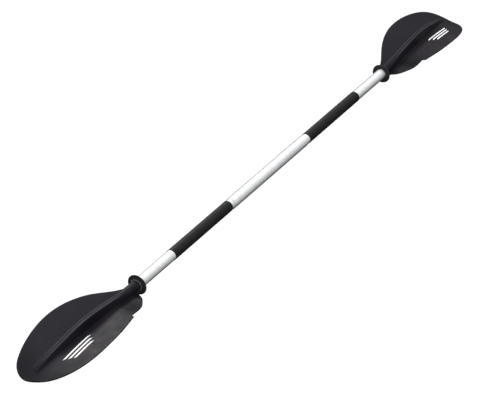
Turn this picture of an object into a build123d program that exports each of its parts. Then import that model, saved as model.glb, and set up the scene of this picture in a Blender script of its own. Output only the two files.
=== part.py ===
from build123d import *
from math import cos, exp, radians, sin, tan
import os

# A take-apart kayak paddle. Its shaft lies along X, with the origin at the paddle's centre on the
# shaft's axis. The blades' power faces look down (-Z) and their ribbed backs look up (+Z).
# The right half is modelled, and the left half is its mirror image in the YZ plane.
# All sizes are in millimetres and all angles are in degrees.

# Overall layout, as distances from the paddle's centre
HALF_LENGTH = 1150.0
RING_X = 676.0
SEAM_X = 202.0
GRIP_START_X = 216.0
GRIP_END_X = 509.5
INSERT_DEPTH = 90.0

# Tubes
END_OUTER_R = 16.0
END_INNER_R = 14.8
RUNNING_CLEARANCE = 0.05
CENTRE_INNER_R = END_OUTER_R + RUNNING_CLEARANCE
CENTRE_OUTER_R = 17.4
TUBE_CHAMFER = 0.3
RING_COLLAR = 5.0
TUBE_START_X = SEAM_X - INSERT_DEPTH
TUBE_END_X = RING_X + RING_COLLAR
CUT_MARGIN = 1.0

# Grips and drip rings
GRIP_WALL = 0.9
GRIP_CHAMFER = 0.3
RING_R = 30.0
RING_THICKNESS = 4.0
RING_RIM = 1.8
COLLAR_ROUND = 0.6
COLLAR_R = 17.8

# Snap buttons, which point down (-Z) through both tubes, and their leaf springs
BUTTON_X = SEAM_X - 35.0
BUTTON_R = 4.0
BUTTON_GAP = 0.1
BUTTON_PROUD = 2.0
BUTTON_CROWN = 1.2
FEATHER_ANGLE = 60.0
TAIL_R = 1.5
TAIL_HEAD_R = 2.6
TAIL_HEAD = 0.8
LEAF = 0.8
LEAF_WIDTH = 10.0
LEAF_OUTER_Z = 13.5
LEAF_PAD = 9.0
LEAF_LENGTH = 50.0
LEAF_BEND_R = 3.0

# Plugs
PLUG_LENGTH = 15.0
PLUG_FLANGE = 2.0
PLUG_GAP = 0.05
FOAM_LENGTH = 60.0
FOAM_GAP = 0.15
FOAM_CHAMFER = 1.0

# Blade rivets, flush with the tube on its lower side
RIVET_SPACING = 20.0
RIVET_R = 1.6
RIVET_HEAD_R = 3.0
RIVET_HEAD = 1.1
RIVET_BULB_R = 2.6
RIVET_BULB = 2.4
RIVET_FLUSH = 0.03

# Blades. Along the blade, t is the distance outward from the drip ring's plane.
BLADE_LENGTH = HALF_LENGTH - RING_X
WEB = 4.0
DIHEDRAL = 10.5
NECK_SINK = 13.0
NECK_BLEND = 90.0
TIP_DROOP = 37.5
DROOP_POWER = 5.3
SPIGOT_LENGTH = 60.0
SPIGOT_WALL = 3.0
RIB_LENGTH = 455.0
RIB_TIP_HALF_WIDTH = 6.0
RIB_TIP_DEPTH = 0.5
RIB_DRIFT = 20.0
BLADE_REACH = 130.0
RIDGE_OVERLAP = 20.0
TRIM_HEIGHT = 100.0

# The blade's outline, as (t, distance to the +Y side)
NECK_T = 12.0
NECK_W = 13.5
BLADE_EDGE = [
    (NECK_T, 17.5),
    (32, 25),
    (57, 34.5),
    (102, 58),
    (161, 84.5),
    (220, 100),
    (291, 104.5),
    (364, 96.5),
    (422, 82.5),
    (456, 65.5),
    (471, 45),
    (BLADE_LENGTH, 28),
    (467, 2),
    (450, -32.5),
    (412, -69.5),
    (350, -93),
    (273, -97.5),
    (201, -93),
    (137.5, -82),
]
NOTCH = (133.5, -72.5)
EAR_EDGE = [
    NOTCH,
    (108, -73.5),
    (80, -69),
    (57, -56),
    (37, -40.5),
    (24, -23),
    (NECK_T, -NECK_W),
]

# The top of the blade's rib, as (t, height), from the shaft's own height down into the web near the tip
RIB_CREST = [
    (RING_COLLAR, END_OUTER_R),
    (60, 16.5),
    (130, 23.5),
    (210, 29.5),
    (290, 25),
    (360, 10),
    (430, -12),
    (RIB_LENGTH, -25),
]


def down_plane(x, turn):
    """A plane at x on the shaft's axis that faces down, turned about the shaft."""
    return Plane(origin=(x, 0, 0), x_dir=(1, 0, 0), z_dir=(0, sin(radians(turn)), -cos(radians(turn))))


def web_height(t):
    """Height of the blade's centre line: it sinks under the neck and droops at the tip."""
    return -NECK_SINK * exp(-((t / NECK_BLEND) ** 2)) - TIP_DROOP * abs(t / BLADE_LENGTH) ** DROOP_POWER


def rib_drift(t):
    """Distance of the rib's middle to the +Y side: the rib curves towards the outline's tip."""
    return RIB_DRIFT * ((t - RING_COLLAR) / (BLADE_LENGTH - RING_COLLAR)) ** 1.5


def rib_section(t):
    """Half width and bottom height of the blade's rib, which is the round neck at its root."""
    left = 1 - (t - RING_COLLAR) / (RIB_LENGTH - RING_COLLAR)
    half_width = RIB_TIP_HALF_WIDTH + (END_OUTER_R - RIB_TIP_HALF_WIDTH) * left
    root_depth = END_OUTER_R + web_height(RING_COLLAR)
    depth = RIB_TIP_DEPTH + (root_depth - RIB_TIP_DEPTH) * left**2
    return half_width, web_height(t) + tan(radians(DIHEDRAL)) * rib_drift(t) - depth


def blade_points(outline):
    """Outline points in the row's X and Y."""
    return [(RING_X + t, w) for t, w in outline]


# Centre tube, with three button holes at each end so that either blade can be feathered
with BuildPart() as centre_tube:
    with BuildSketch(Plane.YZ):
        Circle(CENTRE_OUTER_R)
        Circle(CENTRE_INNER_R, mode=Mode.SUBTRACT)
    extrude(amount=SEAM_X, both=True)
    ends = centre_tube.faces().sort_by(Axis.X)
    chamfer(ends[0].edges() + ends[-1].edges(), length=TUBE_CHAMFER)
    for side in (-1, 1):
        for turn in (-FEATHER_ANGLE, 0, FEATHER_ANGLE):
            with BuildSketch(down_plane(side * BUTTON_X, turn)):
                Circle(BUTTON_R + BUTTON_GAP)
            extrude(amount=CENTRE_OUTER_R + CUT_MARGIN, mode=Mode.SUBTRACT)

# Foam bung in the middle of the centre tube
with BuildPart() as centre_foam_plug:
    with BuildSketch(Plane.YZ):
        Circle(CENTRE_INNER_R - FOAM_GAP)
    extrude(amount=FOAM_LENGTH / 2, both=True)
    chamfer(centre_foam_plug.edges().filter_by(GeomType.CIRCLE), length=FOAM_CHAMFER)

# Rivets, first with heads that stand proud, which is the shape that their holes are cut with
rivet_places = [TUBE_END_X - RIVET_SPACING, TUBE_END_X - 2 * RIVET_SPACING]
spigot_r = END_INNER_R - PLUG_GAP
bore_r = spigot_r - SPIGOT_WALL
with BuildPart() as rivet_blanks:
    for x in rivet_places:
        with BuildSketch(Plane.XZ):
            with BuildLine():
                Polyline(
                    (x, -END_OUTER_R - CUT_MARGIN),
                    (x + RIVET_HEAD_R, -END_OUTER_R - CUT_MARGIN),
                    (x + RIVET_HEAD_R, -END_OUTER_R),
                    (x + RIVET_R, -END_OUTER_R + RIVET_HEAD),
                    (x + RIVET_R, -bore_r),
                    (x + RIVET_BULB_R, -bore_r),
                    (x + RIVET_BULB_R, -bore_r + RIVET_BULB),
                    (x, -bore_r + RIVET_BULB),
                    close=True,
                )
            make_face()
        revolve(axis=Axis((x, 0, 0), (0, 0, 1)))

with BuildPart() as right_blade_rivets:
    add(rivet_blanks.part)
    with BuildSketch(Plane.YZ.offset(TUBE_END_X - SPIGOT_LENGTH)):
        Circle(END_OUTER_R - RIVET_FLUSH)
    extrude(amount=SPIGOT_LENGTH, mode=Mode.INTERSECT)

# End tube
with BuildPart() as right_end_tube:
    with BuildSketch(Plane.YZ.offset(TUBE_START_X)):
        Circle(END_OUTER_R)
        Circle(END_INNER_R, mode=Mode.SUBTRACT)
    extrude(amount=TUBE_END_X - TUBE_START_X)
    inner_end = right_end_tube.faces().sort_by(Axis.X)[0]
    chamfer(inner_end.edges().sort_by(SortBy.RADIUS)[-1], length=TUBE_CHAMFER)
    with BuildSketch(down_plane(BUTTON_X, 0)):
        Circle(BUTTON_R + BUTTON_GAP)
    extrude(amount=END_OUTER_R + CUT_MARGIN, mode=Mode.SUBTRACT)
    add(rivet_blanks.part, mode=Mode.SUBTRACT)

# Hand grip, a thin sleeve stretched over the end tube
with BuildPart() as right_grip:
    with BuildSketch(Plane.YZ.offset(GRIP_START_X)):
        Circle(END_OUTER_R + GRIP_WALL)
        Circle(END_OUTER_R, mode=Mode.SUBTRACT)
    extrude(amount=GRIP_END_X - GRIP_START_X)
    grip_ends = right_grip.faces().sort_by(Axis.X)
    for end in (grip_ends[0], grip_ends[-1]):
        chamfer(end.edges().sort_by(SortBy.RADIUS)[-1], length=GRIP_CHAMFER)

# Drip ring: a round-rimmed disc with a collar towards the blade
with BuildPart() as right_drip_ring:
    with BuildSketch(Plane.XY):
        ring_bore = END_OUTER_R + RUNNING_CLEARANCE
        with BuildLine():
            Polyline(
                (RING_X - RING_THICKNESS / 2, ring_bore),
                (RING_X - RING_THICKNESS / 2, RING_R),
                (RING_X + RING_THICKNESS / 2, RING_R),
                (RING_X + RING_THICKNESS / 2, COLLAR_R),
                (TUBE_END_X, COLLAR_R),
                (TUBE_END_X, ring_bore),
                close=True,
            )
        make_face()
    revolve(axis=Axis.X)
    rim = right_drip_ring.edges().filter_by(GeomType.CIRCLE).sort_by(SortBy.RADIUS)[-2:]
    fillet(rim, radius=RING_RIM)
    collar_rim = right_drip_ring.faces().sort_by(Axis.X)[-1].edges().sort_by(SortBy.RADIUS)[-1]
    fillet(collar_rim, radius=COLLAR_ROUND)

# Snap button, riveted to its leaf spring by a thin tail
button_tip_z = -(CENTRE_OUTER_R + BUTTON_PROUD)
tail_head_z = -LEAF_OUTER_Z + LEAF
with BuildPart() as right_snap_button:
    with BuildSketch(Plane.XY.offset(button_tip_z)):
        with Locations((BUTTON_X, 0)):
            Circle(BUTTON_R)
    extrude(amount=-LEAF_OUTER_Z - button_tip_z)
    fillet(right_snap_button.faces().sort_by(Axis.Z)[0].edges(), radius=BUTTON_CROWN)
    with BuildSketch(Plane.XY.offset(-LEAF_OUTER_Z)):
        with Locations((BUTTON_X, 0)):
            Circle(TAIL_R)
    extrude(amount=LEAF)
    with BuildSketch(Plane.XY.offset(tail_head_z)):
        with Locations((BUTTON_X, 0)):
            Circle(TAIL_HEAD_R)
    extrude(amount=TAIL_HEAD)

# V-shaped leaf spring, with a flat pad under the button and one on the far wall
pad_z = LEAF_OUTER_Z - LEAF / 2
with BuildPart() as right_snap_spring:
    with BuildLine(Plane.XZ) as leaf_path:
        FilletPolyline(
            (BUTTON_X - LEAF_PAD, -pad_z),
            (BUTTON_X + LEAF_PAD, -pad_z),
            (BUTTON_X + LEAF_LENGTH, 0),
            (BUTTON_X + LEAF_PAD, pad_z),
            (BUTTON_X - LEAF_PAD, pad_z),
            radius=LEAF_BEND_R,
        )
    with BuildSketch(Plane(origin=leaf_path.line @ 0, x_dir=(0, 1, 0), z_dir=leaf_path.line % 0)):
        Rectangle(LEAF_WIDTH, LEAF)
    sweep()
    with BuildSketch(Plane.XY.offset(-LEAF_OUTER_Z)):
        with Locations((BUTTON_X, 0)):
            Circle(TAIL_R)
    extrude(amount=LEAF, mode=Mode.SUBTRACT)

# Plug that closes the end tube's inner end
with BuildPart() as right_tube_plug:
    with BuildSketch(Plane.YZ.offset(TUBE_START_X)):
        Circle(END_INNER_R - PLUG_GAP)
    extrude(amount=PLUG_LENGTH)
    with BuildSketch(Plane.YZ.offset(TUBE_START_X - PLUG_FLANGE)):
        Circle(END_OUTER_R - 2 * TUBE_CHAMFER)
    extrude(amount=PLUG_FLANGE)

# Blade: one half of its web, mirrored, then trimmed to the outline. Then the rib and the spigot.
# The web's profile runs a little past both ends of the outline that trims it.
web_stations = [-10, 40, 90, 150, 220, 300, 380, 440, BLADE_LENGTH + 5]
down = radians(DIHEDRAL)
half_web_plane = Plane(origin=(0, 0, 0), x_dir=(1, 0, 0), z_dir=(0, -cos(down), sin(down)))
with BuildPart() as right_blade:
    with BuildSketch(half_web_plane):
        with BuildLine():
            top = Spline([(RING_X + t, web_height(t) + WEB / 2) for t in web_stations])
            bottom = Spline([(RING_X + t, web_height(t) - WEB / 2) for t in web_stations])
            Line(top @ 0, bottom @ 0)
            Line(top @ 1, bottom @ 1)
        make_face()
    extrude(amount=BLADE_REACH)
    extrude(right_blade.faces().sort_by(Axis.Y)[-1], amount=RIDGE_OVERLAP)
    split(bisect_by=Plane.XZ, keep=Keep.TOP)
    mirror(about=Plane.XZ)
    with BuildSketch(Plane.XY.offset(-TRIM_HEIGHT)):
        with BuildLine():
            edge = Spline(blade_points(BLADE_EDGE))
            ear = Spline(blade_points(EAR_EDGE))
            Line(edge @ 1, ear @ 0)
            Line(ear @ 1, edge @ 0)
        make_face()
    extrude(amount=2 * TRIM_HEIGHT, mode=Mode.INTERSECT)
    for t, rib_top in RIB_CREST:
        half_width, rib_bottom = rib_section(t)
        middle = (rib_top + rib_bottom) / 2
        with BuildSketch(Plane(origin=(RING_X + t, rib_drift(t), middle), x_dir=(0, 1, 0), z_dir=(1, 0, 0))):
            Ellipse(half_width, (rib_top - rib_bottom) / 2)
    loft()
    with BuildSketch(Plane.YZ.offset(TUBE_END_X - SPIGOT_LENGTH)):
        Circle(spigot_r)
    extrude(amount=SPIGOT_LENGTH)
    with BuildSketch(Plane.YZ.offset(TUBE_END_X - SPIGOT_LENGTH)):
        Circle(bore_r)
    extrude(amount=SPIGOT_LENGTH, mode=Mode.SUBTRACT)
    add(rivet_blanks.part, mode=Mode.SUBTRACT)

right_pieces = {
    "end_tube": right_end_tube,
    "grip": right_grip,
    "drip_ring": right_drip_ring,
    "blade": right_blade,
    "blade_rivets": right_blade_rivets,
    "snap_button": right_snap_button,
    "snap_spring": right_snap_spring,
    "tube_plug": right_tube_plug,
}
pieces = {"centre_tube": centre_tube, "centre_foam_plug": centre_foam_plug}
for kind, right_piece in right_pieces.items():
    with BuildPart() as left_piece:
        mirror(right_piece.part, about=Plane.YZ)
    pieces["right_" + kind] = right_piece
    pieces["left_" + kind] = left_piece

os.makedirs("parts", exist_ok=True)
for name, piece in pieces.items():
    piece.part.label = name
    export_step(piece.part, f"parts/{name}.step")
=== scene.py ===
"""Looks for a take-apart kayak paddle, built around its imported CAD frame.

The frame is in metres. Shapes are worked out in millimetres, measured from the shaft's axis, and
scaled to metres when their meshes are made. On a blade, t is the distance outward from the drip
ring's plane and w is the distance to the +Y side. The ribbed backs look up (+Z).
"""

import math

import bpy
import bmesh
import numpy as np
from mathutils import Matrix, Vector


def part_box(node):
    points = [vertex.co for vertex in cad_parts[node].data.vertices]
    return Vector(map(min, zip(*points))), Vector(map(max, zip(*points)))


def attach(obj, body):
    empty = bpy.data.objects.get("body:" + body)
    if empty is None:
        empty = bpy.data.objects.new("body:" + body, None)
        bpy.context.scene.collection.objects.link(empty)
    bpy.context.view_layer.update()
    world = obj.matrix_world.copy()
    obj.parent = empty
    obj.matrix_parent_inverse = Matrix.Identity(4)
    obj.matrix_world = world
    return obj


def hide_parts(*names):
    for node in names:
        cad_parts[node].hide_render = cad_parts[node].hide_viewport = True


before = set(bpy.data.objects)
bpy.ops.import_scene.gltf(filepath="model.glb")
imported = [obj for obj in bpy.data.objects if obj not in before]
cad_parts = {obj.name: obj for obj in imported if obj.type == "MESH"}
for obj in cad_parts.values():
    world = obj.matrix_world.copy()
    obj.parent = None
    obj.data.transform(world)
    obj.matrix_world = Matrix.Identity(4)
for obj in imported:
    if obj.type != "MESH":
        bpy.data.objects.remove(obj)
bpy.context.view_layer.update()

MM = 0.001

# ---------------------------------------------------------------- sizes from the frame, in mm


def node_box(node):
    """Lowest and highest corner of a CAD node, in mm."""
    low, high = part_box(node)
    return low / MM, high / MM


ring_low, ring_high = node_box("right_drip_ring")
blade_low, blade_high = node_box("right_blade")
tube_high = node_box("right_end_tube")[1]
grip_low, grip_high = node_box("right_grip")

TUBE_R = tube_high.y
TUBE_END_X = tube_high.x
RING_THICKNESS = 4.0
RING_X = ring_low.x + RING_THICKNESS / 2
RING_R = ring_high.y
BLADE_LENGTH = blade_high.x - RING_X
COLLAR_T = TUBE_END_X - RING_X
SPIGOT_START_T = blade_low.x - RING_X

# ---------------------------------------------------------------- the blade's shape

WEB = 4.0
DIHEDRAL = math.radians(10.5)
ROOT_SOFTNESS = 6.0
TIP_SOFTNESS = 34.0
SOFTENING_T = 330
UNCHANGED_W = 60.0
NECK_SINK = 13.0
NECK_BLEND = 90.0
TIP_DROOP = 37.5
DROOP_POWER = 5.3
EDGE_ROUND = 1.8

# The rib: a round neck at its root, then a crown with two beads, flat flanks and a foot on the web
RIB_LENGTH = 455.0
RIB_TIP_HALF_WIDTH = 6.0
RIB_TIP_DEPTH = 0.5
RIB_DRIFT = 20.0
DRIFT_POWER = 1.5
CROWN_HALF_WIDTH = 5.2
CROWN_TIP_NARROWING = 0.4
CROWN_NARROWS_T = 280
BEAD_RISE = 0.7
BEAD_SPREAD = 1.0
BEAD_START = (60, 130)
BEAD_END = (340, RIB_LENGTH - 15)
FOOT_HALF_WIDTH = 16.5
FOOT_ROOT_WIDENING = 0.12
FOOT_WIDE_UNTIL = (60, 180)
FOOT_TIP_NARROWING = 0.22
FOOT_NARROWS_T = 230
FLANK_SOFTNESS = 0.6
CRISP_FROM = (45, 120)
DOME_JOIN = 0.94
FILLET = 5.0
FILLET_TIP_LOSS = 0.8
FILLET_SHRINKS = (60, 200)

# Where the round neck turns into web and rib, as the start and end of each change
NECK_T = 12.0
NECK_W = 13.5
NECK_TO_SECTION = (10, 30)
NECK_TO_EDGE = (10, 22)

# The outline, as (t, w): from the neck round the tip to the notch, then the ear back to the neck
BLADE_EDGE = [
    (NECK_T, 17.5),
    (32, 25),
    (57, 34.5),
    (102, 58),
    (161, 84.5),
    (220, 100),
    (291, 104.5),
    (364, 96.5),
    (422, 82.5),
    (456, 65.5),
    (471, 45),
    (BLADE_LENGTH, 28),
    (467, 2),
    (450, -32.5),
    (412, -69.5),
    (350, -93),
    (273, -97.5),
    (201, -93),
    (137.5, -82),
]
NOTCH = (133.5, -72.5)
EAR_EDGE = [
    NOTCH,
    (108, -73.5),
    (80, -69),
    (57, -56),
    (37, -40.5),
    (24, -23),
    (NECK_T, -NECK_W),
]
HOOK_POINTS = 9

# The top of the rib, as (t, height), from the shaft's own height down into the web near the tip
RIB_CREST = [
    (COLLAR_T, TUBE_R),
    (60, 16.5),
    (130, 23.5),
    (210, 29.5),
    (290, 25),
    (360, 10),
    (430, -12),
    (RIB_LENGTH, -25),
]


def smooth_step(value, low, high):
    """0 below low, 1 above high, and an even curve in between."""
    share = np.clip((value - low) / (high - low), 0, 1)
    return share * share * (3 - 2 * share)


def mix(a, b, share):
    """a where share is 0, and b where it is 1."""
    return a + (b - a) * share


def peak(value, place, spread):
    """1 where value is at a place, and less on both sides of it."""
    return np.exp(-(((value - place) / spread) ** 2))


def smooth_max(a, b, radius):
    """The larger of a and b, with a fillet where they meet."""
    overlap = np.maximum(radius - np.abs(a - b), 0) / radius
    return np.maximum(a, b) + overlap * overlap * radius / 4


def spline(points, per_span=24):
    """A smooth curve through the points: a natural cubic spline over their chord lengths."""
    points = np.array(points, float)
    chords = np.linalg.norm(np.diff(points, axis=0), axis=1)
    count = len(points)
    system = np.eye(count)
    right = np.zeros((count, 2))
    for i in range(1, count - 1):
        before, after = chords[i - 1], chords[i]
        system[i, i - 1 : i + 2] = before, 2 * (before + after), after
        right[i] = 6 * ((points[i + 1] - points[i]) / after - (points[i] - points[i - 1]) / before)
    bend = np.linalg.solve(system, right)
    curve = []
    for i in range(count - 1):
        span = chords[i]
        s = np.linspace(0, span, per_span, endpoint=False)[:, None]
        slope = (points[i + 1] - points[i]) / span - span * (2 * bend[i] + bend[i + 1]) / 6
        cubic = s**3 * (bend[i + 1] - bend[i]) / (6 * span)
        curve.append(points[i] + s * slope + s**2 * bend[i] / 2 + cubic)
    curve.append(points[-1:])
    return np.concatenate(curve)


rib_crest_curve = spline(RIB_CREST)


def web_height(t):
    """Height of the blade's centre line: it sinks under the neck and droops at the tip."""
    sink = NECK_SINK * np.exp(-((t / NECK_BLEND) ** 2))
    return -sink - TIP_DROOP * np.abs(t / BLADE_LENGTH) ** DROOP_POWER


def web_middle(t, w):
    """Height of the middle of the web. Its halves rise away from the rib and merge softly at the tip."""
    softness = mix(ROOT_SOFTNESS, TIP_SOFTNESS, smooth_step(t, SOFTENING_T, BLADE_LENGTH))
    drop = np.hypot(UNCHANGED_W, softness) - UNCHANGED_W
    return web_height(t) + math.tan(DIHEDRAL) * (np.hypot(w, softness) - drop)


def rib_drift(t):
    """Distance of the rib's middle to the +Y side: the rib curves towards the outline's tip."""
    share = np.clip((t - COLLAR_T) / (BLADE_LENGTH - COLLAR_T), 0, None)
    return RIB_DRIFT * share**DRIFT_POWER


def rib_section(t):
    """Half width, top and bottom of the rib, which is the round neck at its root."""
    to_go = np.clip(1 - (t - COLLAR_T) / (RIB_LENGTH - COLLAR_T), 0, 1)
    half_width = RIB_TIP_HALF_WIDTH + (TUBE_R - RIB_TIP_HALF_WIDTH) * to_go
    web = web_middle(t, rib_drift(t))
    root_depth = TUBE_R + web_middle(COLLAR_T, 0)
    depth = RIB_TIP_DEPTH + (root_depth - RIB_TIP_DEPTH) * to_go**2
    below_web = -2 * TIP_DROOP
    top = np.interp(t, rib_crest_curve[:, 0], rib_crest_curve[:, 1], right=below_web)
    return half_width, np.maximum(top, web), web - depth


def crown_half_width(t):
    """Distance from the rib's middle to each bead. The crown narrows towards the tip."""
    return CROWN_HALF_WIDTH * (1 - CROWN_TIP_NARROWING * smooth_step(t, CROWN_NARROWS_T, RIB_LENGTH))


def foot_half_width(t):
    """Distance from the rib's middle to the foot of its flank: wider by the neck, narrower at the tip."""
    wider = FOOT_ROOT_WIDENING * (1 - smooth_step(t, *FOOT_WIDE_UNTIL))
    narrower = FOOT_TIP_NARROWING * smooth_step(t, FOOT_NARROWS_T, RIB_LENGTH)
    return FOOT_HALF_WIDTH * (1 + wider - narrower)


def bead_share(t):
    """How much of the crown's beads there is: none at the neck, and they fade out before the rib ends."""
    return smooth_step(t, *BEAD_START) * (1 - smooth_step(t, *BEAD_END))


def dome(reach, open_share):
    """Height of a half circle at a share of its radius. As it opens, its sides run on down past it."""
    closed = np.sqrt(np.clip(1 - reach**2, 0, 1))
    join_height = math.sqrt(1 - DOME_JOIN**2)
    running_on = join_height - DOME_JOIN / join_height * (reach - DOME_JOIN)
    opened = np.where(reach < DOME_JOIN, closed, running_on)
    return mix(closed, opened, open_share)


def blade_top(t, w):
    """Height of the ribbed back."""
    web = web_middle(t, w) + WEB / 2
    half_width, rib_top, rib_bottom = rib_section(t)
    leaving_neck = smooth_step(t, *NECK_TO_SECTION)
    middle = (rib_top + rib_bottom) / 2
    aside = np.abs(w - rib_drift(t))
    round_rib = middle + (rib_top - middle) * dome(aside / half_width, leaving_neck)
    crown = crown_half_width(t)
    flank = np.clip((aside - crown) / (foot_half_width(t) - crown), 0, 1)
    share = mix(np.cos(flank * math.pi / 2), (1 + np.cos(math.pi * flank)) / 2, FLANK_SOFTNESS)
    crisp_rib = web + np.maximum(rib_top - web, 0) * share
    crisp_rib = crisp_rib + BEAD_RISE * peak(aside, crown, BEAD_SPREAD) * bead_share(t)
    rib = mix(round_rib, crisp_rib, smooth_step(t, *CRISP_FROM))
    joined = smooth_max(web, rib, FILLET * (1 - FILLET_TIP_LOSS * smooth_step(t, *FILLET_SHRINKS)))
    return mix(round_rib, joined, leaving_neck)


def blade_bottom(t, w):
    """Height of the power face."""
    web = web_middle(t, w) - WEB / 2
    half_width, rib_top, rib_bottom = rib_section(t)
    leaving_neck = smooth_step(t, *NECK_TO_SECTION)
    middle = (rib_top + rib_bottom) / 2
    aside = np.abs(w - rib_drift(t))
    round_rib = middle + (rib_bottom - middle) * dome(aside / half_width, leaving_neck)
    joined = -smooth_max(-web, -round_rib, FILLET)
    return mix(round_rib, joined, leaving_neck)


def blade_outline():
    """The outline's two branches and the whole open curve, as (t, w)."""
    edge = spline(BLADE_EDGE)
    ear = spline(EAR_EDGE)
    hook = np.linspace(edge[-1], ear[0], HOOK_POINTS)[1:-1]
    curve = np.concatenate([edge, hook, ear])
    tip = int(np.argmax(curve[:, 0]))
    upper = curve[: tip + 1]
    lower = curve[tip:][::-1]
    return upper, lower, curve


def branch_at(branch, t):
    """The w of one branch of the outline at each t."""
    ordered = np.maximum.accumulate(branch[:, 0])
    return np.interp(t, ordered, branch[:, 1])


def distance_to(curve, t, w):
    """Distance of each point to the outline."""
    start, end = curve[:-1], curve[1:]
    step = end - start
    never_zero = 1e-9
    length_squared = np.maximum((step**2).sum(1), never_zero)
    nearest = np.full(t.shape, np.inf)
    for row in range(t.shape[0]):
        offset_t = t[row][:, None] - start[:, 0]
        offset_w = w[row][:, None] - start[:, 1]
        share = np.clip((offset_t * step[:, 0] + offset_w * step[:, 1]) / length_squared, 0, 1)
        gap = np.hypot(offset_t - share * step[:, 0], offset_w - share * step[:, 1])
        nearest[row] = gap.min(1)
    return nearest


# ---------------------------------------------------------------- the blade's grid of points

# Zones from the rib's middle outward: crown, flank down to the foot, web and rim
CROWN_COLUMNS = 9
FLANK_COLUMNS = 13
WEB_COLUMNS = 22
RIM_COLUMNS = 8
BEAD_MARGIN = 2.4
RIM_ZONE = 3.0

# Where the blade is narrow, a zone takes at most this share of its reach
CROWN_ZONE_MOST = 0.3
FOOT_MOST = 0.6
FOOT_PAST_CROWN = 1.2
RIM_ZONE_MOST = 0.15
LEAST_REACH = 0.5

ROUND_TO_ZONES = (12, 45)
RIB_TO_TIP_COLUMNS = (428, 466)
WIDENING_BEFORE = 4
WIDENING_AFTER = 8

NECK_ZONE_END = 40
NECK_STATIONS = 24
MIDDLE_STATIONS = 150
TIP_ZONE_START = 436.0
TIP_STATIONS = 26
NOTCH_STATIONS = [-1.6, -0.7, 0, 0.7, 1.4, 2.1, 2.8, 3.4, 4.0, 4.5, 5.2]


def side_columns(t, reach):
    """Distances of one side's columns from the rib's middle, closer together on its crown and at the edge."""
    crown_zone = np.minimum(crown_half_width(t) + BEAD_MARGIN, CROWN_ZONE_MOST * reach)
    foot = np.minimum(foot_half_width(t), FOOT_MOST * reach)
    foot = np.maximum(foot, crown_zone * FOOT_PAST_CROWN)
    rim = reach - np.minimum(RIM_ZONE, RIM_ZONE_MOST * reach)
    counts = np.cumsum([0, CROWN_COLUMNS, FLANK_COLUMNS, WEB_COLUMNS, RIM_COLUMNS])
    along = np.arange(counts[-1] + 1)
    straight = np.zeros((len(t), len(along)))
    for row in range(len(t)):
        zone_ends = [0, crown_zone[row], foot[row], rim[row], reach[row]]
        straight[row] = np.interp(along, counts, zone_ends)
    circular = reach[:, None] * np.sin(along / counts[-1] * math.pi / 2)
    return mix(circular, straight, smooth_step(t, *ROUND_TO_ZONES)[:, None])


def blade_stations(tip_t):
    """The t of each cross-section, closer together at the neck, at the notch and at the tip."""
    swing = np.linspace(0, math.pi / 2, TIP_STATIONS)
    stations = np.concatenate([
        np.linspace(COLLAR_T, NECK_ZONE_END, NECK_STATIONS),
        np.linspace(NECK_ZONE_END + 2, TIP_ZONE_START, MIDDLE_STATIONS),
        TIP_ZONE_START + (tip_t - TIP_ZONE_START) * np.sin(swing),
        NOTCH[0] + np.array(NOTCH_STATIONS),
    ])
    return np.unique(stations.round(3))


def blade_grid():
    """Grid of the right blade: t, w, top height and bottom height."""
    upper, lower, curve = blade_outline()
    t = blade_stations(curve[:, 0].max())
    high = branch_at(upper, t)
    low = branch_at(lower, t)
    widening = smooth_step(t, NECK_T - WIDENING_BEFORE, NECK_T + WIDENING_AFTER)
    high = mix(TUBE_R, high, widening)
    low = mix(-TUBE_R, low, widening)
    centre = (high + low) / 2
    half = (high - low) / 2
    at_tip = smooth_step(t, *RIB_TO_TIP_COLUMNS)
    rib_w = rib_drift(t)
    plus = side_columns(t, np.maximum(high - rib_w, LEAST_REACH))
    minus = side_columns(t, np.maximum(rib_w - low, LEAST_REACH))
    along = np.linspace(0, 1, plus.shape[1])
    tip_reach = half[:, None] * np.sin(along * math.pi / 2)
    plus_w = mix(rib_w[:, None] + plus, centre[:, None] + tip_reach, at_tip[:, None])
    minus_w = mix(rib_w[:, None] - minus, centre[:, None] - tip_reach, at_tip[:, None])
    w = np.concatenate([minus_w[:, :0:-1], plus_w], axis=1)
    t = np.repeat(t[:, None], w.shape[1], axis=1)
    edge_gap = distance_to(curve, t, w)
    edge_gap[:, 0] = 0
    edge_gap[:, -1] = 0
    leaving_neck = smooth_step(t, *NECK_TO_EDGE)
    inset = np.clip(1 - edge_gap / EDGE_ROUND, 0, 1)
    rounding = mix(1, np.sqrt(1 - inset**2), leaving_neck)
    middle = mix(0, web_middle(t, w), leaving_neck)
    top = middle + (blade_top(t, w) - middle) * rounding
    bottom = middle + (blade_bottom(t, w) - middle) * rounding
    return t, w, top, bottom


# ---------------------------------------------------------------- mesh helpers

WELD_DISTANCE = 0.00001
NO_LENGTH = 0.000001

SIDES = (("right", 1), ("left", -1))


def make_piece(name, points, faces, body, material):
    """A smooth mesh piece from points in mm, riding on a body. Its normals are made to look outward."""
    mesh = bpy.data.meshes.new(name)
    mesh.from_pydata([tuple(p) for p in np.asarray(points) * MM], [], [tuple(f) for f in faces])
    work = bmesh.new()
    work.from_mesh(mesh)
    bmesh.ops.remove_doubles(work, verts=work.verts, dist=WELD_DISTANCE)
    bmesh.ops.dissolve_degenerate(work, edges=work.edges, dist=NO_LENGTH)
    bmesh.ops.recalc_face_normals(work, faces=work.faces)
    for face in work.faces:
        face.smooth = True
    work.to_mesh(mesh)
    work.free()
    piece = bpy.data.objects.new(name, mesh)
    bpy.context.scene.collection.objects.link(piece)
    mesh.materials.append(material)
    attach(piece, body)
    return piece


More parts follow.
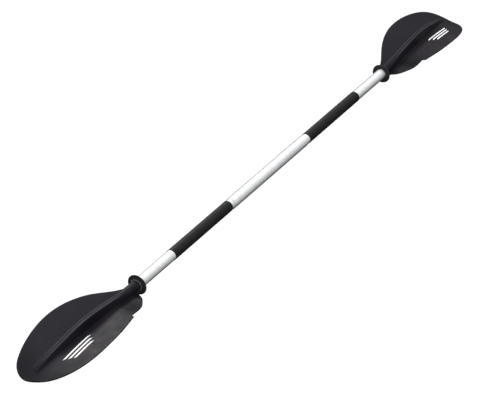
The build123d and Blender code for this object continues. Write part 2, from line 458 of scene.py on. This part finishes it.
def loft(loops, close_ends=True):
    """Points and faces that join closed loops of equal length one after another."""
    loops = np.asarray(loops, float)
    count, size = loops.shape[:2]
    points = loops.reshape(-1, 3)
    faces = []
    for row in range(count - 1):
        for i in range(size):
            j = (i + 1) % size
            here = row * size
            there = here + size
            faces.append((here + i, here + j, there + j, there + i))
    if close_ends:
        faces.append(tuple(range(size)))
        faces.append(tuple(range((count - 1) * size, count * size)))
    return points, faces


def revolve(profile, segments):
    """Points and faces of a closed (x, radius) profile turned about the shaft's axis."""
    turn = np.linspace(0, 2 * math.pi, segments, endpoint=False)
    loops = [[(x, r * math.cos(a), r * math.sin(a)) for x, r in profile] for a in turn]
    loops.append(loops[0])
    return loft(loops, close_ends=False)


def mirrored(points, side):
    """The same points on the right (side 1) or on the left (side -1)."""
    return np.asarray(points, float) * (side, 1, 1)


def points_of(piece):
    """A piece's points in mm, as an array."""
    return np.array([v.co for v in piece.data.vertices]) / MM


def store(piece, name, values):
    """Keeps one number per point under a name that a material can read."""
    attribute = piece.data.attributes.new(name, "FLOAT", "POINT")
    attribute.data.foreach_set("value", values.astype(np.float32))


# ---------------------------------------------------------------- materials


class Nodes:
    """Short calls for building a material's node tree."""

    def __init__(self, name):
        self.material = bpy.data.materials.new(name)
        self.material.use_nodes = True
        self.tree = self.material.node_tree
        self.tree.nodes.clear()

    def set(self, node, key, value):
        """Links or sets an input, which is given by its name or by its number as text."""
        socket = node.inputs[int(key)] if key.isdigit() else node.inputs[key]
        if isinstance(value, bpy.types.NodeSocket):
            self.tree.links.new(value, socket)
        else:
            socket.default_value = value

    def maths(self, operation, a, b):
        """The result of one calculation, such as ADD or MULTIPLY."""
        node = self.tree.nodes.new("ShaderNodeMath")
        node.operation = operation
        self.set(node, "0", a)
        self.set(node, "1", b)
        return node.outputs[0]

    def blend(self, share, a, b):
        """Colour a where share is 0, and colour b where it is 1."""
        node = self.tree.nodes.new("ShaderNodeMix")
        node.data_type = "RGBA"
        self.set(node, "0", share)
        self.set(node, "6", a)
        self.set(node, "7", b)
        return node.outputs[2]

    def ramp(self, value, low, high, to_low=0.0, to_high=1.0):
        """value taken from low..high to to_low..to_high, without going past them."""
        node = self.tree.nodes.new("ShaderNodeMapRange")
        node.clamp = True
        for i, part in enumerate((value, low, high, to_low, to_high)):
            self.set(node, str(i), part)
        return node.outputs[0]

    def place(self, scale=(1, 1, 1)):
        """Position in the object's own frame, stretched by scale."""
        where = self.tree.nodes.new("ShaderNodeTexCoord")
        node = self.tree.nodes.new("ShaderNodeMapping")
        self.tree.links.new(where.outputs["Object"], node.inputs["Vector"])
        node.inputs["Scale"].default_value = scale
        return node.outputs["Vector"]

    def noise(self, scale, detail=2.0, stretch=(1, 1, 1)):
        """A random pattern with this many features per metre."""
        node = self.tree.nodes.new("ShaderNodeTexNoise")
        self.tree.links.new(self.place(stretch), node.inputs["Vector"])
        node.inputs["Scale"].default_value = scale
        node.inputs["Detail"].default_value = detail
        return node.outputs["Fac"]

    def attribute(self, name):
        """A number stored on the mesh's points. It is 0 on a mesh that doesn't have it."""
        node = self.tree.nodes.new("ShaderNodeAttribute")
        node.attribute_name = name
        return node.outputs["Fac"]

    def bump(self, height, distance, strength, below=None):
        """A surface raised by height, over another bump if one is given."""
        node = self.tree.nodes.new("ShaderNodeBump")
        self.tree.links.new(height, node.inputs["Height"])
        node.inputs["Distance"].default_value = distance
        node.inputs["Strength"].default_value = strength
        if below is not None:
            self.tree.links.new(below, node.inputs["Normal"])
        return node.outputs["Normal"]

    def finish(self, **inputs):
        """Ends in one Principled shader with these inputs."""
        shader = self.tree.nodes.new("ShaderNodeBsdfPrincipled")
        for key, value in inputs.items():
            self.set(shader, key.replace("_", " "), value)
        output = self.tree.nodes.new("ShaderNodeOutputMaterial")
        self.tree.links.new(shader.outputs[0], output.inputs["Surface"])
        return self.material


def grey(level, warmth=0.0):
    """A linear grey, warmer above 0 and cooler below."""
    return (level * (1 + warmth), level, level * (1 - warmth), 1)


PLASTIC_DARK = (0.0060, 0.0052, 0.0092, 1)
PLASTIC_LIGHT = (0.0084, 0.0073, 0.0120, 1)
PLASTIC_STREAK = (0.0115, 0.0100, 0.0145, 1)
PLASTIC_BLOOM = (0.02, 0.016, 0.0165, 1)
PLASTIC_MOTTLE_AND_SHEEN = (0.026, 0.019, 0.0185, 1)
PAINTED_SHADE_COLOUR = (0.001, 0.001, 0.0015, 1)
PAINTED_BEAD_HIGHLIGHT = (0.062, 0.059, 0.07, 1)
# Painted highlight on the drip ring's collar lip
PAINTED_LIP_HIGHLIGHT = (0.30, 0.33, 0.40, 1)


def blade_plastic():
    """Charcoal moulded plastic with fine grain, faint streaks and a scuffed edge, brownish mottling with
    painted sheen on the lower side, painted highlights on the crown's beads, and painted shade beside the
    neck and towards the tip.
    """
    n = Nodes("blade_plastic")
    clouds = n.ramp(n.noise(9, 4), 0.35, 0.7)
    streaks = n.ramp(n.noise(26, 3, (0.25, 1.6, 1.6)), 0.3, 0.75)
    grain = n.noise(1700, 2)
    bloom = n.ramp(n.noise(14, 5), 0.5, 0.72)
    colour = n.blend(clouds, PLASTIC_DARK, PLASTIC_LIGHT)
    colour = n.blend(n.maths("MULTIPLY", streaks, 0.3), colour, PLASTIC_STREAK)
    colour = n.blend(n.maths("MULTIPLY", bloom, 0.2), colour, PLASTIC_BLOOM)
    # Brownish mottling with painted sheen: lighter, warmer patches on the lower side of the back
    mottle_and_sheen_share = n.maths("MULTIPLY", n.attribute("mottle_and_sheen"), n.ramp(n.noise(24, 6), 0.38, 0.68))
    colour = n.blend(n.maths("MULTIPLY", mottle_and_sheen_share, 0.6), colour, PLASTIC_MOTTLE_AND_SHEEN)
    # Painted shade: darker colour and less gloss beside the neck on the lower side and towards the tip
    shade = n.attribute("shade")
    colour = n.blend(n.maths("MULTIPLY", shade, 0.75), colour, PAINTED_SHADE_COLOUR)
    edge = n.attribute("edge")
    wear = n.maths("MULTIPLY", edge, n.ramp(n.noise(60, 5), 0.45, 0.7))
    colour = n.blend(n.maths("MULTIPLY", wear, 0.35), colour, grey(0.04, 0.02))
    # Painted highlight: the crown's two beads are coloured lighter
    colour = n.blend(n.maths("MULTIPLY", n.attribute("bead_highlight"), 0.8), colour, PAINTED_BEAD_HIGHLIGHT)
    rough = n.ramp(n.noise(40, 4), 0.3, 0.7, 0.46, 0.56)
    scuffs = n.ramp(n.noise(220, 3, (0.15, 1, 1)), 0.6, 0.8, 0.0, 0.08)
    rough = n.maths("ADD", rough, scuffs)
    fine = n.bump(grain, 0.00012, 0.5)
    wavy = n.bump(n.noise(45, 2), 0.0006, 0.25, fine)
    gloss = n.ramp(shade, 0, 1, 0.11, 0.04)
    return n.finish(Base_Color=colour, Roughness=rough, Normal=wavy, Specular_IOR_Level=gloss)


def stripe_paint():
    """White printed ink, slightly worn."""
    n = Nodes("stripe_paint")
    wear = n.ramp(n.noise(240, 5), 0.58, 0.75)
    tone = n.ramp(n.noise(30, 3), 0.3, 0.7)
    colour = n.blend(tone, grey(0.72), grey(0.82))
    colour = n.blend(n.maths("MULTIPLY", wear, 0.35), colour, grey(0.3))
    return n.finish(Base_Color=colour, Roughness=0.5, Normal=n.bump(n.noise(1500), 0.00005, 0.4))


def tube_metal():
    """Clear-anodised aluminium: very fine lines round it, a few marks, and painted shade where seen edge on.
    """
    n = Nodes("tube_metal")
    lines = n.noise(900, 3, (1, 0.02, 0.02))
    bands = n.ramp(n.noise(60, 2, (1, 0.03, 0.03)), 0.35, 0.65)
    colour = n.blend(bands, grey(0.8, -0.02), grey(0.86, -0.012))
    # Painted shade: the colour darkens where the tube is seen edge on, along both its sides
    edge_on = n.tree.nodes.new("ShaderNodeLayerWeight").outputs["Facing"]
    colour = n.blend(n.ramp(edge_on, 0.4, 0.8), colour, grey(0.2, -0.01))
    marks = n.ramp(n.noise(35, 6, (0.6, 1.5, 1.5)), 0.62, 0.72)
    rough = n.maths("ADD", n.ramp(lines, 0.3, 0.7, 0.56, 0.64), n.maths("MULTIPLY", marks, 0.1))
    normal = n.bump(lines, 0.00001, 0.3)
    return n.finish(
        Base_Color=colour,
        Metallic=0.6,
        Roughness=rough,
        Normal=normal,
        Specular_IOR_Level=0.25,
    )


def rubber(name, level, warmth, grain_scale):
    """Matt black rubber with a fine grain, slight dusty patches and a painted highlight on the lip where one
    is marked.
    """
    n = Nodes(name)
    dust = n.ramp(n.noise(55, 5), 0.5, 0.8)
    colour = n.blend(dust, grey(level, warmth), grey(level * 1.5, warmth))
    # Painted highlight on the collar's lip
    colour = n.blend(n.attribute("lip"), colour, PAINTED_LIP_HIGHLIGHT)
    rough = n.ramp(n.noise(150, 3), 0.3, 0.7, 0.5, 0.62)
    grain = n.bump(n.noise(grain_scale, 2), 0.0001, 0.45)
    return n.finish(Base_Color=colour, Roughness=rough, Normal=grain, Specular_IOR_Level=0.14)


def small_metal(name, level, rough_low, rough_high):
    """Bare metal of a small part, with a fine pattern of scratches."""
    n = Nodes(name)
    scratches = n.noise(700, 4, (0.2, 1, 1))
    stain = n.ramp(n.noise(300, 3), 0.4, 0.7)
    colour = n.blend(stain, grey(level), grey(level * 0.8, 0.03))
    rough = n.ramp(scratches, 0.3, 0.7, rough_low, rough_high)
    scratched = n.bump(scratches, 0.00003, 0.4)
    return n.finish(Base_Color=colour, Metallic=1.0, Roughness=rough, Normal=scratched)


def plug_plastic():
    """Black injection-moulded plastic with a dull skin."""
    n = Nodes("plug_plastic")
    colour = n.blend(n.ramp(n.noise(120, 4), 0.4, 0.7), grey(0.02), grey(0.035))
    rough = n.ramp(n.noise(260, 3), 0.3, 0.7, 0.45, 0.6)
    return n.finish(Base_Color=colour, Roughness=rough, Normal=n.bump(n.noise(1900, 2), 0.0001, 0.4))


def foam():
    """Closed-cell foam, seen as small pits with painted shade in them."""
    n = Nodes("foam")
    cells = n.tree.nodes.new("ShaderNodeTexVoronoi")
    n.tree.links.new(n.place(), cells.inputs["Vector"])
    cells.inputs["Scale"].default_value = 900
    from_pit = cells.outputs["Distance"]
    # Painted shade: the colour is darker towards the middle of each pit
    colour = n.blend(n.ramp(from_pit, 0.0, 0.8), grey(0.10, 0.02), grey(0.22, 0.02))
    return n.finish(Base_Color=colour, Roughness=0.9, Normal=n.bump(from_pit, 0.0004, 0.6))


blade_material = blade_plastic()
stripe_material = stripe_paint()
grip_material = rubber("grip_rubber", 0.0115, -0.02, 1500)
ring_material = rubber("ring_rubber", 0.026, -0.07, 1900)
tube_material = tube_metal()
rivet_material = small_metal("rivet_metal", 0.6, 0.3, 0.45)
steel_material = small_metal("spring_steel", 0.5, 0.22, 0.38)
node_materials = {
    "centre_tube": tube_material,
    "end_tube": tube_material,
    "blade_rivets": rivet_material,
    "snap_spring": steel_material,
    "snap_button": steel_material,
    "tube_plug": plug_plastic(),
    "centre_foam_plug": foam(),
}

for node, cad_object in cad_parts.items():
    kind = node.removeprefix("left_").removeprefix("right_")
    if kind in node_materials:
        cad_object.data.materials.clear()
        cad_object.data.materials.append(node_materials[kind])

# ---------------------------------------------------------------- blades

SPIGOT_R = 14.75
BORE_R = 11.75
BORE_FLOOR_DEPTH = 2.0
STRIPE_FILM = 0.12
STRIPE_LOOPS = 49
STRIPE_POINTS_ACROSS = 7
STRIPE_COUNT = 3
STRIPE_PITCH = 11.0
STRIPE_WIDTH = 5.0
STRIPE_LENGTH = 112.0
STRIPE_SHORTER = 18.0
STRIPE_START_T = 262.0
STRIPE_START_W = -26.0
STRIPE_SLANT = 9.0

# Where the materials show wear, painted shade, painted highlights and mottling with painted sheen, as places
# in mm: t along the blade, w across it, and distance to the outline
# Painted shade beside the neck on the lower side, and towards the tip
LONG_HOLLOW = (98, 40)
LONG_HOLLOW_SHADE = 0.92
EAR_HOLLOW = (36, 15)
EAR_HOLLOW_SHADE = 0.8
HOLLOW_FROM_W = (8, 22)
TIP_SHADE_T = (380, 445)
TIP_SHADE = 0.3
# Brownish mottling with painted sheen on the lower side of the back
MOTTLE_SHEEN_START_T = (120, 220)
MOTTLE_SHEEN_END_T = (330, 420)
MOTTLE_SHEEN_FROM_W = (12, 40)
EDGE_WEAR = (0.5, 9.0)


def blade_loops():
    """Closed loops from inside the spigot, out of the tube and along the blade to its tip."""
    t_grid, w_grid, top_grid, bottom_grid = blade_grid()
    x_grid = RING_X + t_grid
    top_points = np.stack([x_grid, w_grid, top_grid], axis=2)
    bottom_points = np.stack([x_grid, w_grid, bottom_grid], axis=2)[:, -2:0:-1]
    outside = np.concatenate([top_points, bottom_points], axis=1)
    root = outside[0]
    spigot = [
        (COLLAR_T - BORE_FLOOR_DEPTH, BORE_R),
        (SPIGOT_START_T, BORE_R),
        (SPIGOT_START_T, SPIGOT_R),
        (COLLAR_T, SPIGOT_R),
    ]
    loops = []
    for t, radius in spigot:
        loops.append(np.stack([
            np.full(len(root), RING_X + t),
            root[:, 1] * radius / TUBE_R,
            root[:, 2] * radius / TUBE_R,
        ], axis=1))
    return np.concatenate([loops, outside])


def add_wear_attributes(piece):
    """Stores on each point how much of the worn edge, the beads' painted highlight, the painted shade beside
    the neck and at the tip, and the lower side's mottling with painted sheen there is at it.
    """
    curve = blade_outline()[2]
    points = points_of(piece)
    t = np.abs(points[:, 0]) - RING_X
    w = points[:, 1]
    gap = distance_to(curve, t[None, :], w[None, :])[0]
    on_back = points[:, 2] > web_middle(t, w)
    aside = np.abs(w - rib_drift(t))
    # Painted highlight along the crown's beads, on the back only
    bead_highlight = peak(aside, crown_half_width(t), BEAD_SPREAD) * bead_share(t) * on_back
    # Painted shade beside the neck on the lower side and towards the tip, on the back only
    long_hollow = LONG_HOLLOW_SHADE * peak(t, *LONG_HOLLOW)
    ear_hollow = EAR_HOLLOW_SHADE * peak(t, *EAR_HOLLOW)
    beside_neck = np.maximum(long_hollow, ear_hollow) * smooth_step(-w, *HOLLOW_FROM_W) * on_back
    at_tip = TIP_SHADE * smooth_step(t, *TIP_SHADE_T) * on_back
    # Brownish mottling with painted sheen on the lower side of the back
    mottle_sheen_stretch = smooth_step(t, *MOTTLE_SHEEN_START_T) * (1 - smooth_step(t, *MOTTLE_SHEEN_END_T))
    store(piece, "edge", 1 - smooth_step(gap, *EDGE_WEAR))
    store(piece, "bead_highlight", bead_highlight)
    store(piece, "shade", np.maximum(beside_neck, at_tip))
    store(piece, "mottle_and_sheen", smooth_step(-w, *MOTTLE_SHEEN_FROM_W) * mottle_sheen_stretch * on_back)


def stripe_points(row):
    """Points and faces of one printed stripe: a thin film on the blade's back, with slanted ends."""
    length = STRIPE_LENGTH - STRIPE_SHORTER * row
    middle_w = STRIPE_START_W - STRIPE_PITCH * row
    along = np.linspace(0, 1, STRIPE_LOOPS)
    across = np.linspace(-0.5, 0.5, STRIPE_POINTS_ACROSS)
    loops = []
    for share in along:
        w = middle_w + STRIPE_WIDTH * across
        t = STRIPE_START_T + STRIPE_SLANT * row + length * share + STRIPE_SLANT * across
        z = blade_top(t, w)
        upper = np.stack([RING_X + t, w, z + STRIPE_FILM], axis=1)
        lower = np.stack([RING_X + t, w, z - STRIPE_FILM], axis=1)[::-1]
        loops.append(np.concatenate([upper, lower]))
    return loft(loops)


blade_points, blade_faces = loft(blade_loops())
for name, side in SIDES:
    body = name + "_section"
    blade = make_piece(
        name + "_blade_moulding",
        mirrored(blade_points, side),
        blade_faces,
        body,
        blade_material,
    )
    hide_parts(name + "_blade")
    add_wear_attributes(blade)
    for row in range(STRIPE_COUNT):
        points, faces = stripe_points(row)
        make_piece(
            f"{name}_blade_stripe_{row + 1}",
            mirrored(points, side),
            faces,
            body,
            stripe_material,
        )

# ---------------------------------------------------------------- drip rings

RING_SLACK = 0.05
RING_BORE = TUBE_R + RING_SLACK
COLLAR_R = 17.8
COLLAR_ROUND = 0.7
COLLAR_ROUND_POINTS = 5
RIM_BEAD_R = RING_THICKNESS / 2
RIM_BEAD_START = math.radians(-140)
RIM_BEAD_END = math.radians(-400)
RIM_BEAD_POINTS = 22
DISC_HALF = 1.25
DISC_R = RING_R - 5.2
DISC_ROOT_R = COLLAR_R + 1.4
LIP_FOOT = (-DISC_HALF - 0.25, COLLAR_R + 0.5)
COLLAR_FOOT = (DISC_HALF + 0.4, COLLAR_R + 0.3)
RING_SEGMENTS = 96
LIP_HIGHLIGHT_DEPTH = 0.1


def ring_profile():
    """A thin disc with a round bead at its rim, a lip on the shaft side and a collar on the blade side."""
    profile = [(-RIM_BEAD_R, RING_BORE), (-RIM_BEAD_R, COLLAR_R), LIP_FOOT]
    profile += [(-DISC_HALF, DISC_ROOT_R), (-DISC_HALF, DISC_R)]
    for a in np.linspace(RIM_BEAD_START, RIM_BEAD_END, RIM_BEAD_POINTS):
        profile.append((RIM_BEAD_R * math.cos(a), RING_R - RIM_BEAD_R + RIM_BEAD_R * math.sin(a)))
    profile += [(DISC_HALF, DISC_R), (DISC_HALF, DISC_ROOT_R), COLLAR_FOOT]
    for a in np.linspace(0, math.pi / 2, COLLAR_ROUND_POINTS):
        x = COLLAR_T - COLLAR_ROUND + COLLAR_ROUND * math.sin(a)
        profile.append((x, COLLAR_R - COLLAR_ROUND + COLLAR_ROUND * math.cos(a)))
    profile.append((COLLAR_T, RING_BORE))
    return [(RING_X + x, r) for x, r in profile]


def add_lip_attribute(ring):
    """Marks the collar's end, whose rim gets a painted highlight, lighter than the rest."""
    at_end = np.abs(points_of(ring)[:, 0]) > RING_X + COLLAR_T - LIP_HIGHLIGHT_DEPTH
    store(ring, "lip", at_end)


ring_points, ring_faces = revolve(ring_profile(), RING_SEGMENTS)
for name, side in SIDES:
    ring = make_piece(
        name + "_drip_ring_rubber",
        mirrored(ring_points, side),
        ring_faces,
        name + "_ring",
        ring_material,
    )
    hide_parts(name + "_drip_ring")
    add_lip_attribute(ring)

# ---------------------------------------------------------------- grips

GRIP_R = grip_high.y
GRIP_START_X = grip_low.x
GRIP_END_X = grip_high.x
GRIP_RIB_DEPTH = 0.28
GRIP_RIB_PITCH = 3.0
GRIP_RIB_SHOULDER = 0.06
GRIP_LIP = 4.0
GRIP_BEVEL = 0.3
GRIP_GLUE_GAP = 0.01
GRIP_SEGMENTS = 72

# One rib, as (share of the pitch, depth below the sleeve's outside)
GRIP_RIB_SHAPE = [
    (0.08, GRIP_RIB_DEPTH),
    (0.3, GRIP_RIB_DEPTH),
    (0.42, GRIP_RIB_SHOULDER),
    (0.68, 0),
    (0.94, GRIP_RIB_SHOULDER),
]


def grip_profile():
    """A thin sleeve with fine ribs round it and a plain lip at each end."""
    inner_r = TUBE_R + GRIP_GLUE_GAP
    ribs_start_x = GRIP_START_X + GRIP_LIP
    ribs_end_x = GRIP_END_X - GRIP_LIP
    ribs = round((ribs_end_x - ribs_start_x) / GRIP_RIB_PITCH)
    pitch = (ribs_end_x - ribs_start_x) / ribs
    profile = [(GRIP_END_X, inner_r), (GRIP_START_X, inner_r)]
    profile += [(GRIP_START_X, GRIP_R - GRIP_BEVEL), (GRIP_START_X + GRIP_BEVEL, GRIP_R)]
    profile.append((ribs_start_x, GRIP_R))
    for rib in range(ribs):
        start = ribs_start_x + rib * pitch
        profile += [(start + share * pitch, GRIP_R - depth) for share, depth in GRIP_RIB_SHAPE]
    profile.append((ribs_end_x, GRIP_R))
    profile += [(GRIP_END_X - GRIP_BEVEL, GRIP_R), (GRIP_END_X, GRIP_R - GRIP_BEVEL)]
    return profile


grip_points, grip_faces = revolve(grip_profile(), GRIP_SEGMENTS)
for name, side in SIDES:
    grip = make_piece(
        name + "_grip_sleeve",
        mirrored(grip_points, side),
        grip_faces,
        name + "_section",
        grip_material,
    )
    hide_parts(name + "_grip")

# ---------------------------------------------------------------- floor, light and camera

# These sizes are in metres, and the camera's lens and sensor are in millimetres
FLOOR_Z = -0.125
FLOOR_HALF = 60.0
FLOOR_GLOW = 1.2
FLOOR_GLOW_SHARE = 0.88

# The world is weakest at the horizon and below it, and strongest nearly straight above
WORLD_TOWARD = Vector((-0.1, 0.0, 1.0)).normalized()
WORLD_FROM = (-0.05, 0.9)
WORLD_STRENGTH = (0.28, 1.4)

CAMERA_PLACE = Vector((-4.9507, -2.7276, 3.8100))
CAMERA_RIGHT = Vector((0.52837, -0.84696, 0.05904)).normalized()
CAMERA_UP = Vector((0.45843, 0.34313, 0.81982)).normalized()
CAMERA_LENS = 176.55
CAMERA_SENSOR = 36.0
CAMERA_FAR = 200.0


def make_floor():
    """A wide pale floor. It looks white to the camera and gives only a soft bounce."""
    mesh = bpy.data.meshes.new("floor")
    corners = [(-1, -1), (1, -1), (1, 1), (-1, 1)]
    points = [(FLOOR_HALF * x, FLOOR_HALF * y, FLOOR_Z) for x, y in corners]
    mesh.from_pydata(points, [], [(0, 1, 2, 3)])
    floor = bpy.data.objects.new("floor", mesh)
    bpy.context.scene.collection.objects.link(floor)
    n = Nodes("floor_paint")
    tone = n.ramp(n.noise(0.4, 3), 0.3, 0.7)
    diffuse = n.tree.nodes.new("ShaderNodeBsdfDiffuse")
    n.tree.links.new(n.blend(tone, grey(0.10), grey(0.11)), diffuse.inputs["Color"])
    glow = n.tree.nodes.new("ShaderNodeEmission")
    glow.inputs["Strength"].default_value = FLOOR_GLOW
    seen = n.tree.nodes.new("ShaderNodeMixShader")
    seen.inputs[0].default_value = FLOOR_GLOW_SHARE
    n.tree.links.new(diffuse.outputs[0], seen.inputs[1])
    n.tree.links.new(glow.outputs[0], seen.inputs[2])
    path = n.tree.nodes.new("ShaderNodeLightPath")
    choice = n.tree.nodes.new("ShaderNodeMixShader")
    n.tree.links.new(path.outputs["Is Camera Ray"], choice.inputs[0])
    n.tree.links.new(diffuse.outputs[0], choice.inputs[1])
    n.tree.links.new(seen.outputs[0], choice.inputs[2])
    output = n.tree.nodes.new("ShaderNodeOutputMaterial")
    n.tree.links.new(choice.outputs[0], output.inputs["Surface"])
    mesh.materials.append(n.material)


def make_world():
    """White to the camera. Its light is bright from above and dim from the horizon and below."""
    world = bpy.data.worlds.new("studio")
    bpy.context.scene.world = world
    world.use_nodes = True
    tree = world.node_tree
    tree.nodes.clear()
    where = tree.nodes.new("ShaderNodeTexCoord")
    toward = tree.nodes.new("ShaderNodeVectorMath")
    toward.operation = "DOT_PRODUCT"
    tree.links.new(where.outputs["Generated"], toward.inputs[0])
    toward.inputs[1].default_value = WORLD_TOWARD
    level = tree.nodes.new("ShaderNodeMapRange")
    level.interpolation_type = "SMOOTHSTEP"
    tree.links.new(toward.outputs["Value"], level.inputs[0])
    # Inputs 1 to 4 are the lowest and highest value in, and the strengths they give
    for i, value in enumerate(WORLD_FROM + WORLD_STRENGTH):
        level.inputs[i + 1].default_value = value
    soft = tree.nodes.new("ShaderNodeBackground")
    tree.links.new(level.outputs[0], soft.inputs["Strength"])
    soft.inputs["Color"].default_value = grey(1)
    white = tree.nodes.new("ShaderNodeBackground")
    white.inputs["Strength"].default_value = 1.0
    white.inputs["Color"].default_value = grey(1)
    path = tree.nodes.new("ShaderNodeLightPath")
    choice = tree.nodes.new("ShaderNodeMixShader")
    tree.links.new(path.outputs["Is Camera Ray"], choice.inputs[0])
    tree.links.new(soft.outputs[0], choice.inputs[1])
    tree.links.new(white.outputs[0], choice.inputs[2])
    output = tree.nodes.new("ShaderNodeOutputWorld")
    tree.links.new(choice.outputs[0], output.inputs["Surface"])


def area_light(name, place, size, power):
    """A square soft box that looks at the paddle's centre. Its size is in metres and its power in watts."""
    light = bpy.data.lights.new(name, "AREA")
    light.size = size
    light.energy = power
    lamp = bpy.data.objects.new(name, light)
    lamp.location = place
    lamp.rotation_mode = "QUATERNION"
    lamp.rotation_quaternion = (-Vector(place)).to_track_quat("-Z", "Y")
    lamp.visible_camera = False
    bpy.context.scene.collection.objects.link(lamp)


def make_camera():
    """From the left end, in front and high up, with a long lens. The shaft rises to the right."""
    camera = bpy.data.cameras.new("camera")
    camera.lens = CAMERA_LENS
    camera.sensor_width = CAMERA_SENSOR
    camera.clip_end = CAMERA_FAR
    viewer = bpy.data.objects.new("camera", camera)
    back = CAMERA_RIGHT.cross(CAMERA_UP)
    turn = Matrix((CAMERA_RIGHT, CAMERA_UP, back)).transposed()
    viewer.matrix_world = Matrix.Translation(CAMERA_PLACE) @ turn.to_4x4()
    bpy.context.scene.collection.objects.link(viewer)
    bpy.context.scene.camera = viewer


make_floor()
make_world()
area_light("key", place=(0.6, 3.2, 3.6), size=2.5, power=105.0)
area_light("sheen", place=(2.3, 3.1, 2.1), size=1.1, power=60.0)
make_camera()
bpy.context.scene.view_settings.view_transform = "Standard"
